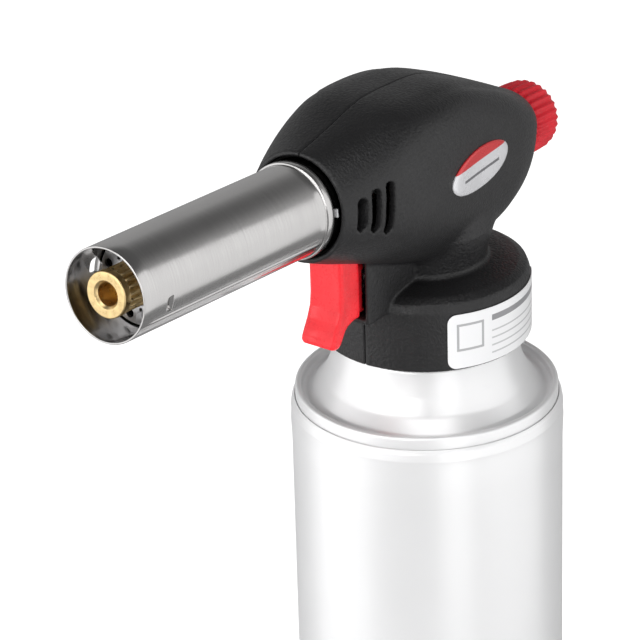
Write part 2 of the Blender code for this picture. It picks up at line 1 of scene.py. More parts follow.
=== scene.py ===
"""Looks of the gas torch: fine shells, sheet metal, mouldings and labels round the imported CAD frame.

The frame is in metres, +Z up. Shapes here are worked out in millimetres in one of three places: TORCH (the
cartridge's axis at the collar's lower edge), BARREL (local Z runs out through the nozzle, local Y upwards)
and KNOB (parallel to the barrel, on the knob's axis). A piece keeps that place as its own matrix.
"""

import json
import math

import bmesh
import bpy
import numpy as np
from mathutils import Matrix, Vector


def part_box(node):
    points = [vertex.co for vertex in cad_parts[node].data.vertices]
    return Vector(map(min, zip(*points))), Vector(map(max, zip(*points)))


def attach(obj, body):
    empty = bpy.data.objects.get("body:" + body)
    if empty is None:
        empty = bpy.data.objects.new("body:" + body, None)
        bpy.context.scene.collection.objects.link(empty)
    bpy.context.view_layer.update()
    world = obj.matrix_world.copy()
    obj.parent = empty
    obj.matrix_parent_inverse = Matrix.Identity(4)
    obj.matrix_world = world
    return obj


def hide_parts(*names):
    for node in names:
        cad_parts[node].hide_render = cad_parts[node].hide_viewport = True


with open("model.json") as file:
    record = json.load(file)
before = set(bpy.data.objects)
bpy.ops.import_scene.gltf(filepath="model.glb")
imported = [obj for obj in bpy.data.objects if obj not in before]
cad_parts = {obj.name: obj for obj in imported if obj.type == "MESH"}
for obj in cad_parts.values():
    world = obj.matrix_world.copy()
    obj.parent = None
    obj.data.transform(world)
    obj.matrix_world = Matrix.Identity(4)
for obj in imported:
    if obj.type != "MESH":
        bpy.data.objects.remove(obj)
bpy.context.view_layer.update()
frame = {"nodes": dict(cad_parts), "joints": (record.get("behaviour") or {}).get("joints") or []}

MM = 0.001
JOINTS = {joint["name"]: joint for joint in frame["joints"]}
NODES = frame["nodes"]

# Places
COLLAR = Vector(JOINTS["bayonet_twist"]["pos_m"])
OUTWARDS = -Vector(JOINTS["knob_turn"]["axis"]).normalized()
SIDEWAYS = Vector((1.0, 0.0, 0.0))
UPWARDS = OUTWARDS.cross(SIDEWAYS)
KNOB_DROP = 3.2
KNOB_ORIGIN = Vector(JOINTS["knob_turn"]["pos_m"])
BARREL_ORIGIN = KNOB_ORIGIN + UPWARDS * KNOB_DROP * MM


def place(origin, z_axis=Vector((0, 0, 1)), y_axis=Vector((0, 1, 0))):
    turn = Matrix((y_axis.cross(z_axis), y_axis, z_axis)).transposed().to_4x4()
    return Matrix.Translation(origin) @ turn


TORCH = place(COLLAR)
BARREL = place(BARREL_ORIGIN, OUTWARDS, UPWARDS)
KNOB = place(KNOB_ORIGIN, OUTWARDS, UPWARDS)
CAN = place(Vector((COLLAR.x, COLLAR.y, 0)))

# Sizes in millimetres, from the frame where it holds them
RISE = (BARREL_ORIGIN.z - COLLAR.z) / MM
COLLAR_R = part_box("body_shell_right")[1].x / MM
CAN_R = 32.8
BEAD_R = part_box("can_base")[1].x / MM - 0.3
SEAM_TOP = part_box("can_top_dome")[1].z / MM - 13.0
TUBE_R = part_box("flame_tube")[1].x / MM
TUBE_SHEET = 0.5
TIP = 118.0  # the nozzle's reach along the barrel, from the cartridge's axis
WALL = 2.0
SPLIT = 0.06  # each half's distance from the middle plane

# Sections across the barrel: (reach, half width, top, bottom)
HEAD_SECTIONS = [
    (49.6, 13.0, 13.0, 13.0),
    (45.0, 14.9, 14.2, 14.5),
    (38.0, 17.0, 16.3, 16.4),
    (28.0, 18.4, 19.3, 19.2),
    (15.0, 18.8, 20.2, 22.8),
    (4.0, 18.0, 19.8, 24.6),
    (-8.0, 17.4, 16.5, 24.8),
    (-20.0, 16.0, 12.1, 22.5),
    (-30.0, 12.3, 8.0, 18.2),
    (-36.0, 7.8, 5.6, 13.0),
]
HEAD_FRONT, HEAD_BACK = HEAD_SECTIONS[0][0], HEAD_SECTIONS[-1][0]
SHOULDER = [(0, 19.4), (14.0, 19.3), (19.0, 18.8), (22.4, 18.2), (24.3, 17.1), (25.2, 15.0),
            (25.6, 10.0), (27.0, -10)]
# (height, radius)
NECK = [(14, 14.9), (20.5, 14.9), (23, 15.3), (26, 16.2), (28.5, 16.8), (31, 16.5), (34, 15.4)]
SCREW_SPOTS = [(24, 14.4), (24, -14.6), (-4, 13.3), (-17, -16.0)]  # (reach, height)
VENTS = [(44.8, 0.1, 4.0), (41.15, 0.35, 5.2), (37.3, 0.2, 6.3)]  # (reach, middle, half length)
VENT_HALF = 1.3
BADGE = (3.0, 0.6, 12.4, 5.1)  # reach, height, half length, half height
BADGE_TILT = math.radians(-6)
LABEL_ANGLES = (-43.5, 43.5)
LABEL_HEIGHTS = (0.6, 14.5)
NOSE = 7  # the solid stretch behind the mouth
VENT_FLOOR = 10  # how near the middle plane the vents reach
SEAM_ANGLE = math.radians(-28.5)
LANCE_ANGLES = (-10, 170)
TRIGGER = [  # the side outline, as (Y, height) from the collar
    (-40, 34.6), (-39.9, 27.5), (-39.9, 24), (-40.3, 20.8), (-41.4, 18.2), (-42.7, 16), (-43.6, 14.3),
    (-43.8, 13.3), (-43.3, 12.4), (-42.3, 12.0), (-41.2, 12.05), (-40.3, 12.6), (-39.2, 14.2),
    (-38.4, 15.4), (-37.5, 16.1), (-35.4, 16.7), (-29.4, 16.9), (-29.4, 29.2), (-32.7, 29.2), (-32.7, 34.6)]
TRIGGER_HALF, STEM_HALF = 4.75, 3.7

# The room's brightness by the height of the direction, from straight down (-1) to straight up (1)
ROOM = [(-1.0, 0.26), (-0.12, 0.36), (0.06, 0.42), (0.44, 0.42), (0.62, 0.12), (1.0, 0.10)]
# Panels: (azimuth, elevation, distance, width, height, radiance), seen from the object's middle
PANELS = {
    "left_panel": (-45, 0, 1.5, 1.9, 2.3, 1.0),
    "front_strip": (60, 0, 1.6, 0.80, 2.2, 1.15),
    "right_panel": (112, 0, 1.6, 2.1, 2.3, 0.78),
    "front_fill": (0, 15, 1.5, 1.3, 0.7, 2.6),
    "top_key": (30, 62, 1.6, 1.5, 0.9, 2.2),
}


# ---------------------------------------------------------------- mesh helpers


def piece(name, points, faces, where, mats=(), smooth=180.0):
    """A named mesh from points in millimetres, at a place."""
    mesh = bpy.data.meshes.new(name)
    mesh.from_pydata((np.asarray(points, float) * MM).tolist(), [], [list(map(int, f)) for f in faces])
    mesh.validate()
    obj = bpy.data.objects.new(name, mesh)
    bpy.context.scene.collection.objects.link(obj)
    obj.matrix_world = where
    for mat in mats:
        mesh.materials.append(mat)
    face_outwards(mesh)
    soften(mesh, smooth)
    return obj


def face_outwards(mesh):
    bm = bmesh.new()
    bm.from_mesh(mesh)
    bmesh.ops.recalc_face_normals(bm, faces=bm.faces)
    if bm.calc_volume(signed=True) < 0:
        bmesh.ops.reverse_faces(bm, faces=bm.faces)
    bm.to_mesh(mesh)
    bm.free()


def soften(mesh, angle):
    mesh.shade_smooth()
    if angle < 180:
        mesh.set_sharp_from_angle(angle=math.radians(angle))


def settle(obj, smooth=None):
    """The object's modifiers made part of its mesh."""
    graph = bpy.context.evaluated_depsgraph_get()
    mesh = bpy.data.meshes.new_from_object(obj.evaluated_get(graph))
    old, obj.data = obj.data, mesh
    obj.modifiers.clear()
    bpy.data.meshes.remove(old)
    if smooth is not None:
        soften(mesh, smooth)
    return obj


def combine(obj, others, operation="DIFFERENCE", smooth=35.0):
    """A Boolean with each of the others, which are used up."""
    for other in others:
        step = obj.modifiers.new(other.name, "BOOLEAN")
        step.object = other
        step.operation = operation
        step.solver = "MANIFOLD"
    bpy.context.view_layer.update()
    settle(obj, smooth)
    for other in others:
        bpy.data.objects.remove(other)
    return obj


def filleted(corners, steps=5):
    """A closed outline from corners of (x, y, fillet radius)."""
    points = []
    for before, here, after in zip(corners[-1:] + corners[:-1], corners, corners[1:] + corners[:1]):
        spot, radius = np.array(here[:2], float), here[2]
        p, q = np.array(before[:2]) - spot, np.array(after[:2]) - spot
        long_p, long_q = np.hypot(*p), np.hypot(*q)
        p, q = p / long_p, q / long_q
        half = math.acos(float(np.clip(p @ q, -1, 1))) / 2
        if radius <= 0 or half > 1.5:
            points.append(tuple(spot))
            continue
        reach = min(radius / math.tan(half), 0.49 * long_p, 0.49 * long_q)
        radius = reach * math.tan(half)
        centre = spot + (p + q) / np.hypot(*(p + q)) * radius / math.sin(half)
        start = math.atan2(*(spot + p * reach - centre)[::-1])
        turn = math.atan2(*(spot + q * reach - centre)[::-1]) - start
        turn = (turn + math.pi) % (2 * math.pi) - math.pi
        points += [tuple(centre + radius * np.array((math.cos(a), math.sin(a))))
                   for a in start + turn * np.linspace(0, 1, steps + 1)]
    return points


def lathe(name, outline, where, mats=(), segments=128, warp=None, smooth=35.0):
    """A closed outline of (radius, height) turned about local Z.

    warp(radius, height, angle) gives a new radius.
    """
    points, rings, faces = [], [], []
    angles = 2 * np.pi * np.arange(segments) / segments
    for radius, height in outline:
        if radius < 1e-6:
            rings.append(np.full(segments, len(points)))
            points.append((0, 0, height))
            continue
        r = warp(radius, height, angles) if warp else np.full(segments, radius)
        rings.append(len(points) + np.arange(segments))
        points += list(zip(r * np.cos(angles), r * np.sin(angles), np.full(segments, height)))
    for low, high in zip(rings, rings[1:] + rings[:1]):
        for k in range(segments):
            n = (k + 1) % segments
            corners = list(dict.fromkeys((low[k], low[n], high[n], high[k])))
            if len(corners) > 2:
                faces.append(corners)
    return piece(name, points, faces, where, mats, smooth)


def prism(name, outline, low, high, where, mats=(), axis=2):
    """A closed outline extruded between two levels along one local axis."""
    count = len(outline)
    points = [np.roll((u, v, level), axis + 1) for level in (low, high) for u, v in outline]
    faces = [list(range(count)), list(range(count, 2 * count))]
    faces += [(k, (k + 1) % count, count + (k + 1) % count, count + k) for k in range(count)]
    return piece(name, points, faces, where, mats, 35.0)


def circle(centre, radius, count=24):
    angles = 2 * np.pi * np.arange(count) / count
    return [(centre[0] + radius * math.cos(a), centre[1] + radius * math.sin(a)) for a in angles]


# ---------------------------------------------------------------- surfaces from a distance function


def join(a, b, radius):
    """The union of two distances, with a fillet of about this radius."""
    mix = np.clip(0.5 + 0.5 * (b - a) / radius, 0, 1)
    return b + (a - b) * mix - radius * mix * (1 - mix)


def meet(a, b, radius):
    return -join(-a, -b, radius)


def cut(a, b, radius):
    return -join(-a, b, radius)


def net(distance, low, high, cell):
    """Points and quads of the surface where distance(x, y, z) is 0, between two corners."""
    axes = [np.arange(low[i], high[i] + cell, cell) for i in range(3)]
    values = distance(*np.meshgrid(*axes, indexing="ij")).astype(np.float32)
    inside = values < 0
    shape = [n - 1 for n in values.shape]
    corners = [(i, j, k) for i in (0, 1) for j in (0, 1) for k in (0, 1)]
    total = sum(inside[i:i + shape[0], j:j + shape[1], k:k + shape[2]].astype(np.int8) for i, j, k in corners)
    cells = np.argwhere((total > 0) & (total < 8))
    ids = np.full(shape, -1, np.int64)
    ids[tuple(cells.T)] = np.arange(len(cells))
    sums, counts = np.zeros((len(cells), 3)), np.zeros(len(cells))
    for a in corners:
        for axis in range(3):
            if a[axis]:
                continue
            b = tuple(1 if i == axis else a[i] for i in range(3))
            fa, fb = values[tuple((cells + a).T)], values[tuple((cells + b).T)]
            crossed = (fa < 0) != (fb < 0)
            share = np.where(crossed, fa / np.where(crossed, fa - fb, 1), 0)
            spot = np.tile(np.array(a, float), (len(cells), 1))
            spot[:, axis] += share
            sums += spot * crossed[:, None]
            counts += crossed
    points = np.array(low) + (cells + sums / counts[:, None]) * cell
    for _ in range(3):
        points = pull(distance, points, cell)
    quads = []
    for axis in range(3):
        u, v = (axis + 1) % 3, (axis + 2) % 3
        here = np.take(inside, range(shape[axis]), axis)
        there = np.take(inside, range(1, shape[axis] + 1), axis)
        for flip, mask in ((False, here & ~there), (True, ~here & there)):
            spots = np.argwhere(mask)
            spots = spots[(spots[:, u] > 0) & (spots[:, v] > 0)
                          & (spots[:, u] < shape[u]) & (spots[:, v] < shape[v])]
            ring = []
            for du, dv in ((-1, -1), (0, -1), (0, 0), (-1, 0)):
                move = np.zeros(3, int)
                move[u], move[v] = du, dv
                ring.append(ids[tuple((spots + move).T)])
            quads.append(np.stack(ring[::-1] if flip else ring, 1))
    return points, np.concatenate(quads)


def slope(distance, points, step):
    moves = np.eye(3) * step
    return np.stack([(distance(*(points + m).T) - distance(*(points - m).T)) / (2 * step) for m in moves], 1)


def pull(distance, points, cell):
    """One Newton step onto the surface, no further than half a cell."""
    slopes = slope(distance, points, 0.05)
    step = distance(*points.T)[:, None] * slopes / np.maximum((slopes**2).sum(1), 0.05)[:, None]
    length = np.maximum(np.linalg.norm(step, axis=1), 1e-9)[:, None]
    return points - step * np.minimum(1, 0.5 * cell / length)


def polygon_distance(u, v, corners):
    """Signed distance from the outline of a polygon, negative inside."""
    nearest = np.full(np.shape(u), 1e9)
    inside = np.zeros(np.shape(u), bool)
    for (au, av), (bu, bv) in zip(corners, corners[1:] + corners[:1]):
        eu, ev = bu - au, bv - av
        share = np.clip(((u - au) * eu + (v - av) * ev) / (eu * eu + ev * ev), 0, 1)
        nearest = np.minimum(nearest, np.hypot(u - au - share * eu, v - av - share * ev))
        crosses = ((av > v) != (bv > v)) & (u < eu * (v - av) / (ev if ev else 1e-9) + au)
        inside ^= crosses
    return np.where(inside, -nearest, nearest)


def box_distance(x, y, z, low, high, radius=0.0):
    parts = []
    for value, a, b in zip((x, y, z), low, high):
        parts.append(np.abs(value - (a + b) / 2) - (b - a) / 2 + radius)
    outside = np.sqrt(sum(np.maximum(p, 0) ** 2 for p in parts))
    return outside + np.minimum(np.maximum.reduce(parts), 0) - radius


# ---------------------------------------------------------------- the housing's form


def hermite(x, column):
    """A smooth curve through one column of the head's sections."""
    spots = HEAD_SECTIONS[::-1]
    xs, ys = (np.array([p[k] for p in spots], float) for k in (0, column))
    slopes = np.gradient(ys, xs)
    i = np.clip(np.searchsorted(xs, x) - 1, 0, len(xs) - 2)
    step = xs[i + 1] - xs[i]
    t = (x - xs[i]) / step
    return ((2 * t**3 - 3 * t**2 + 1) * ys[i] + (t**3 - 2 * t**2 + t) * slopes[i] * step
            + (3 * t**2 - 2 * t**3) * ys[i + 1] + (t**3 - t**2) * slopes[i + 1] * step)


REACHES = np.linspace(HEAD_BACK, HEAD_FRONT, 400)
HALF_WIDTHS, TOPS, BOTTOMS = (hermite(REACHES, k) for k in (1, 2, 3))


def boxiness(s):
    """Round at both mouths, squarer between them: the powers of the upper and the lower curve."""
    share = np.maximum(np.sin(np.pi * np.clip((HEAD_FRONT - s) / (HEAD_FRONT - HEAD_BACK), 0, 1)), 0)
    return 2 + 1.95 * share**1.15, 2 + 0.45 * share**0.7


def head_measures(s, n):
    width = np.interp(s, REACHES, HALF_WIDTHS)
    height = np.where(n > 0, np.interp(s, REACHES, TOPS), np.interp(s, REACHES, BOTTOMS))
    above, below = boxiness(s)
    return width, height, np.where(n > 0, above, below)


def head_distance(x, n, s):
    width, height, power = head_measures(s, n)
    share = ((np.abs(x) / width) ** power + (np.abs(n) / height) ** power) ** (1 / power)
    return np.hypot(x, n) * (1 - 1 / np.maximum(share, 1e-3))


def flank(s, n):
    """How far the head's side stands out from the middle plane."""
    width, height, power = head_measures(np.asarray(s, float), np.asarray(n, float))
    return width * (1 - (np.abs(n) / height) ** power) ** (1 / power)


def barrel_frame(y, z):
    """(height, reach) in the barrel's frame, from the torch's."""
    rise = z - RISE
    return y * UPWARDS.y + rise * UPWARDS.z, y * OUTWARDS.y + rise * OUTWARDS.z


def shoulder_distance(r, z):
    radii, heights = zip(*SHOULDER)
    step = 0.15
    top = np.interp(r, radii, heights)
    steep = (np.interp(r + step, radii, heights) - np.interp(r - step, radii, heights)) / (2 * step)
    return np.maximum((z - top) / np.sqrt(1 + steep**2), r - COLLAR_R)


def neck_distance(r, z):
    """The neck widens upwards, into the head's belly."""
    return np.maximum(r - np.interp(z, *zip(*NECK)), z - 34)


def crease(x, n, s):
    """The soft valley that runs back along each side of the flat top."""
    middle = np.interp(s, (-24, -8, 10, 30), (7.0, 9.6, 11.6, 12.4))
    depth = np.interp(s, (-34, -22, -6, 12, 26), (0, 0.5, 0.55, 0.3, 0))
    return depth * np.exp(-(((np.abs(x) - middle) / 2.1) ** 2)) * (n > 0)


def vent_distance(s, n):
    """Slots with a round top and a chamfered foot."""
    nearest = np.full(np.shape(s), 1e9)
    for reach, middle, half in VENTS:
        u, v = np.abs(s - reach), n - middle
        top = np.hypot(u, np.maximum(v - half + VENT_HALF, 0)) - VENT_HALF
        foot = np.maximum(-v - half, (u - v - half - VENT_HALF + 1.0) * 0.7071)
        nearest = np.minimum(nearest, np.maximum(top, foot))
    return nearest


def shell_distance(x, y, z, side):
    """One half of the housing, for x > 0. side is 1 for the right half, and -1 for the left one."""
    n, s = barrel_frame(y, z)
    r = np.hypot(x, y)
    head = head_distance(x, n, s)
    outer_head = meet(head + crease(x, n, s), s - HEAD_FRONT, 0.5)
    outer_head = meet(outer_head, HEAD_BACK - s, 3.0)
    lower = join(shoulder_distance(r, z), neck_distance(r, z), 1.4)
    outer = join(outer_head, meet(lower, r - COLLAR_R, 0.6), 1.6)
    outer = join(outer, box_distance(x, y, z, (-6.6, -32.3, 14.7), (6.6, -8, 34), 0.7), 0.7)

    inner_head = np.maximum(np.maximum(head + WALL, s - HEAD_FRONT + NOSE), HEAD_BACK + 2 - s)
    inner = np.minimum(inner_head, np.maximum(lower + WALL, z - 15.9))
    inner = np.minimum(inner, np.maximum(r - 12.8, z - 30))
    inner = np.minimum(inner, box_distance(x, y, z, (-5.6, -36, 16.2), (5.6, -12, 29.6), 0.3))
    inner = np.minimum(inner, box_distance(x, y, z, (-5.6, -42, 16.2), (5.6, -27.2, 35.2), 0.3))
    for reach, height in SCREW_SPOTS:
        spread = np.hypot(s - reach, n - height)
        inner = np.maximum(inner, 2.9 - spread)
        if side < 0:
            inner = np.maximum(inner, -np.maximum(spread - 4.6, 7.6 - x))
    body = cut(outer, inner, 0.25)
    mouth = np.maximum(np.hypot(x, n) - 12.0, 40 - s)
    knob_mouth = np.maximum(np.hypot(x, n + KNOB_DROP) - 6.6, s + 30)
    body = cut(cut(body, mouth, 0.45), knob_mouth, 0.4)
    body = cut(body, np.maximum(vent_distance(s, n), VENT_FLOOR - x), 0.3)
    if side < 0:
        for reach, height in SCREW_SPOTS:
            body = cut(body, np.maximum(np.hypot(s - reach, n - height) - 3.2, 9.6 - x), 0.35)
    body = meet(body, SPLIT - x, np.where(z > 30, 0.3, 0.1))
    return meet(body, -z, 0.5)


def make_housing(mat):
    cell = 0.4
    halves = (("housing_right", 1, "body_shell_right"), ("housing_left", -1, "body_shell_left"))
    for name, side, node in halves:
        points, quads = net(lambda x, y, z: shell_distance(x, y, z, side),
                            (-0.8, -53, -0.8), (26, 42, 68.4), cell)
        points[:, 0] *= side
        shell = piece(name, points, quads, TORCH, [mat])
        thin = shell.modifiers.new("thinned", "DECIMATE")
        thin.ratio = 0.34
        settle(shell, 180)
        finish_piece(shell, "torch_head", "body_black", node)


# ---------------------------------------------------------------- materials


class Paint:
    """A material with a Principled shader, and short calls for the nodes that feed it."""

    def __init__(self, name, colour, roughness, metallic=0.0, **sockets):
        self.mat = bpy.data.materials.new(name)
        self.mat.use_nodes = True
        self.tree = self.mat.node_tree
        self.shader = self.tree.nodes["Principled BSDF"]
        self.set("Base Color", (*colour, 1.0))
        self.set("Roughness", roughness)
        self.set("Metallic", metallic)
        for key, value in sockets.items():
            self.set(key.replace("_", " "), value)
        self.colour, self.roughness = colour, roughness

    def set(self, socket, value):
        self.shader.inputs[socket].default_value = value

    def node(self, kind, **settings):
        made = self.tree.nodes.new(kind)
        for key, value in settings.items():
            if key in made.inputs:
                made.inputs[key].default_value = value
            else:
                setattr(made, key, value)
        return made

    def link(self, start, end):
        self.tree.links.new(start, end)

    def coordinates(self, scale=(1, 1, 1), source="Object"):
        start = self.node("ShaderNodeTexCoord")
        mapping = self.node("ShaderNodeMapping")
        mapping.inputs["Scale"].default_value = scale
        self.link(start.outputs[source], mapping.inputs["Vector"])
        return mapping.outputs["Vector"]

    def noise(self, scale, detail=2.0, stretch=(1, 1, 1), rough=0.5):
        made = self.node("ShaderNodeTexNoise", Scale=scale, Detail=detail, Roughness=rough)
        self.link(self.coordinates(stretch), made.inputs["Vector"])
        return made.outputs["Fac"]

    def spread(self, value, low, high, start=0.35, end=0.65):
        made = self.node("ShaderNodeMapRange")
        for key, number in (("From Min", start), ("From Max", end), ("To Min", low), ("To Max", high)):
            made.inputs[key].default_value = number
        self.link(value, made.inputs["Value"])
        return made.outputs["Result"]

    def vary_roughness(self, value, amount):
        self.link(self.spread(value, self.roughness - amount, self.roughness + amount),
                  self.shader.inputs["Roughness"])

    def vary_colour(self, value, low, high):
        """The base colour times a factor between low and high."""
        made = self.node("ShaderNodeMix", data_type="RGBA", blend_type="MIX")
        made.inputs[6].default_value = (*[c * low for c in self.colour], 1)
        made.inputs[7].default_value = (*[min(1, c * high) for c in self.colour], 1)
        self.link(self.spread(value, 0, 1), made.inputs[0])
        self.link(made.outputs[2], self.shader.inputs["Base Color"])

    def bump(self, value, strength, depth_mm, under=None):
        made = self.node("ShaderNodeBump", Strength=strength, Distance=depth_mm * MM)
        self.link(value, made.inputs["Height"])
        if under:
            self.link(under, made.inputs["Normal"])
        self.link(made.outputs["Normal"], self.shader.inputs["Normal"])
        return made.outputs["Normal"]


def moulding(name, colour, roughness, grain=2600, depth=0.05, strength=0.5, **sockets):
    """Moulded plastic with a spark-eroded grain."""
    paint = Paint(name, colour, roughness, **sockets)
    fine = paint.noise(grain, 2.5)
    broad = paint.noise(90, 2)
    paint.vary_colour(broad, 0.86, 1.14)
    paint.vary_roughness(fine, 0.06)
    paint.bump(fine, strength, depth)
    return paint


def metal(name, colour, roughness, stretch=(1, 1, 1), grain=900, depth=0.01, strength=0.35, **sockets):
    """Metal with a fine grain; stretch draws the grain out into lines."""
    paint = Paint(name, colour, roughness, 1.0, **sockets)
    lines = paint.noise(grain, 4, stretch, 0.65)
    paint.vary_colour(lines, 0.86, 1.1)
    paint.vary_roughness(lines, 0.06)
    paint.bump(lines, strength, depth)
    return paint


def brushed_steel():
    """Sheet brushed round the tube: lines run round local Z."""
    paint = Paint("brushed_stainless", (0.56, 0.55, 0.545), 0.18, 1.0, Anisotropic=0.3)
    lines = paint.noise(1, 4, (90, 90, 9000), 0.6)
    cloud = paint.noise(60, 3)
    paint.vary_colour(lines, 0.94, 1.05)
    paint.vary_roughness(cloud, 0.03)
    paint.bump(lines, 0.12, 0.004)
    tangent = paint.node("ShaderNodeTangent", direction_type="RADIAL", axis="Z")
    paint.link(tangent.outputs["Tangent"], paint.shader.inputs["Tangent"])
    return paint.mat


def turned_brass():
    """Brass with the rings that a lathe leaves across a face."""
    paint = Paint("turned_brass", (0.80, 0.60, 0.30), 0.33, 1.0)
    rings = paint.node("ShaderNodeTexWave", wave_type="RINGS", rings_direction="Z",
                       Scale=700.0, Distortion=1.5)
    rings.inputs["Detail"].default_value = 2
    paint.link(paint.coordinates(), rings.inputs["Vector"])
    blotch = paint.noise(700, 4)
    paint.vary_colour(blotch, 0.82, 1.12)
    paint.vary_roughness(blotch, 0.07)
    under = paint.bump(rings.outputs["Fac"], 0.25, 0.01)
    paint.bump(paint.noise(2600, 3), 0.3, 0.02, under)
    return paint.mat


def can_lacquer():
    """Pearly lacquer over drawn metal."""
    paint = Paint("pearl_lacquer", (0.86, 0.86, 0.865), 0.36, 0.42)
    broad = paint.noise(45, 2, (1, 1, 0.2))
    paint.vary_roughness(broad, 0.03)
    paint.vary_colour(paint.noise(30, 2), 0.985, 1.01)
    paint.bump(paint.noise(1500, 3), 0.12, 0.008)
    return paint.mat


def label_film():
    """Pale film with a printed frame and blank lines; its UV is in millimetres round and up the collar."""
    paint = Paint("label_film", (0.82, 0.82, 0.83), 0.32, Coat_Weight=0.3, Coat_Roughness=0.15)
    uv = paint.node("ShaderNodeTexCoord")
    split = paint.node("ShaderNodeSeparateXYZ")
    paint.link(uv.outputs["UV"], split.inputs["Vector"])
    across, up = split.outputs["X"], split.outputs["Y"]

    def maths(kind, a, b=None):
        made = paint.node("ShaderNodeMath", operation=kind)
        for socket, value in zip(made.inputs, (a, b)):
            if value is None:
                continue
            if isinstance(value, (int, float)):
                socket.default_value = value
            else:
                paint.link(value, socket)
        return made.outputs[0]

    def between(value, low, high):
        return maths("MULTIPLY", maths("GREATER_THAN", value, low), maths("LESS_THAN", value, high))

    rows = maths("LESS_THAN", maths("FRACT", maths("DIVIDE", up, 1.9)), 0.22)
    ruled = maths("MULTIPLY", maths("MULTIPLY", rows, between(across, 11.5, 36.0)), between(up, 1.5, 9.2))
    bar = maths("MULTIPLY", between(across, 11.5, 36.0), between(up, 10.4, 11.9))
    square = maths("MULTIPLY", between(across, 2.2, 9.2), between(up, 4.4, 11.4))
    hollow = maths("MULTIPLY", between(across, 2.8, 8.6), between(up, 5.0, 10.8))
    frame_line = maths("SUBTRACT", square, hollow)
    ink = maths("MAXIMUM", maths("MULTIPLY", ruled, 0.45), maths("MULTIPLY", bar, 0.8))
    ink = maths("MAXIMUM", ink, maths("MULTIPLY", frame_line, 0.6))
    mix = paint.node("ShaderNodeMix", data_type="RGBA")
    mix.inputs[6].default_value = (0.82, 0.82, 0.83, 1)
    mix.inputs[7].default_value = (0.10, 0.10, 0.11, 1)
    paint.link(ink, mix.inputs[0])
    paint.link(mix.outputs[2], paint.shader.inputs["Base Color"])
    paint.vary_roughness(paint.noise(150, 2), 0.04)
    paint.bump(paint.noise(500, 2), 0.15, 0.02)
    return paint.mat


def badge_film():
    """Silver film, its upper edge printed red; the mesh's UV runs from -1 to 1 both ways."""
    paint = Paint("badge_film", (0.72, 0.72, 0.74), 0.28, 0.3, Coat_Weight=0.5, Coat_Roughness=0.1)
    uv = paint.node("ShaderNodeTexCoord")
    split = paint.node("ShaderNodeSeparateXYZ")
    paint.link(uv.outputs["UV"], split.inputs["Vector"])
    edge = paint.spread(split.outputs["Y"], 0, 1, 0.44, 0.47)
    rule = paint.node("ShaderNodeMath", operation="COMPARE")
    paint.link(split.outputs["Y"], rule.inputs[0])
    rule.inputs[1].default_value, rule.inputs[2].default_value = -0.12, 0.07
    ends = paint.node("ShaderNodeMath", operation="COMPARE")
    paint.link(split.outputs["X"], ends.inputs[0])
    ends.inputs[1].default_value, ends.inputs[2].default_value = 0.0, 0.62
    both = paint.node("ShaderNodeMath", operation="MULTIPLY")
    paint.link(rule.outputs[0], both.inputs[0])
    paint.link(ends.outputs[0], both.inputs[1])
    grey = paint.node("ShaderNodeMix", data_type="RGBA")
    grey.inputs[6].default_value = (0.72, 0.72, 0.74, 1)
    grey.inputs[7].default_value = (0.16, 0.16, 0.17, 1)
    paint.link(both.outputs[0], grey.inputs[0])
    red = paint.node("ShaderNodeMix", data_type="RGBA")
    red.inputs[7].default_value = (0.62, 0.025, 0.03, 1)
    paint.link(edge, red.inputs[0])
    paint.link(grey.outputs[2], red.inputs[6])
    paint.link(red.outputs[2], paint.shader.inputs["Base Color"])
    paint.vary_roughness(paint.noise(200, 2), 0.03)
    paint.bump(paint.noise(900, 2), 0.1, 0.01)
    return paint.mat


def make_materials():
    return {
        "body_black": moulding("black_moulding", (0.0105, 0.0103, 0.011), 0.44,
                               grain=1500, depth=0.2, strength=0.9,
                               Specular_IOR_Level=0.46).mat,
        # near-black matt moulding: painted shade for what shows through the vents (tube clamp and sleeve)
        "vent_shade_black": moulding("vent_shade_black", (0.003, 0.003, 0.003), 0.9, Specular_IOR_Level=0.1).mat,
        "piezo_black": moulding("piezo_moulding", (0.03, 0.03, 0.03), 0.35, depth=0.02, strength=0.3).mat,
        "trigger_red": moulding("red_moulding", (0.88, 0.020, 0.030), 0.30, grain=900, depth=0.01,
                                strength=0.2, Specular_IOR_Level=0.4).mat,
        "knob_crimson": moulding("crimson_moulding", (0.68, 0.012, 0.026), 0.45, grain=2400, depth=0.03,
                                 Specular_IOR_Level=0.35).mat,
        "acetal": moulding("acetal", (0.80, 0.80, 0.76), 0.36, depth=0.01, strength=0.2).mat,
        "rubber": moulding("rubber", (0.03, 0.03, 0.03), 0.7, depth=0.03).mat,
        "ceramic": moulding("ceramic", (0.85, 0.82, 0.76), 0.5, grain=3500, depth=0.02).mat,
        "stainless": brushed_steel(),
        "brass": turned_brass(),
        "steel": metal("zinc_plate", (0.60, 0.60, 0.61), 0.34, grain=1200).mat,
        "spring_steel": metal("spring_steel", (0.55, 0.55, 0.56), 0.28, grain=2500).mat,
        "tinplate": metal("tinplate", (0.72, 0.72, 0.70), 0.26, grain=700).mat,
        "can_silver": can_lacquer(),
        "label_white": label_film(),
        "badge_silver": badge_film(),
    }


NODE_FINISH = {
    "tinplate": ["valve_cup"],
    "acetal": ["valve_housing", "valve_stem", "piezo_plunger", "vapour_tube"],
    "rubber": ["valve_seal", "inlet_seal", "spindle_oring", "ignition_lead"],
    "spring_steel": ["valve_spring", "trigger_spring"],
    "steel": ["tube_baffle", "electrode", "bayonet_plate", "plate_screw_1", "plate_screw_2"],
    "brass": ["mixing_tube", "valve_body", "gas_jet", "gland_nut", "needle_spindle"],
    "ceramic": ["electrode_insulator"],
    "piezo_black": ["piezo_igniter"],
    # the tube clamp is painted near-black as shade seen through the vents
    "vent_shade_black": ["tube_clamp"],
}


def finish_nodes(mats):
    for finish, names in NODE_FINISH.items():
        for name in names:
            mesh = NODES[name].data
            mesh.materials.clear()
            mesh.materials.append(mats[finish])


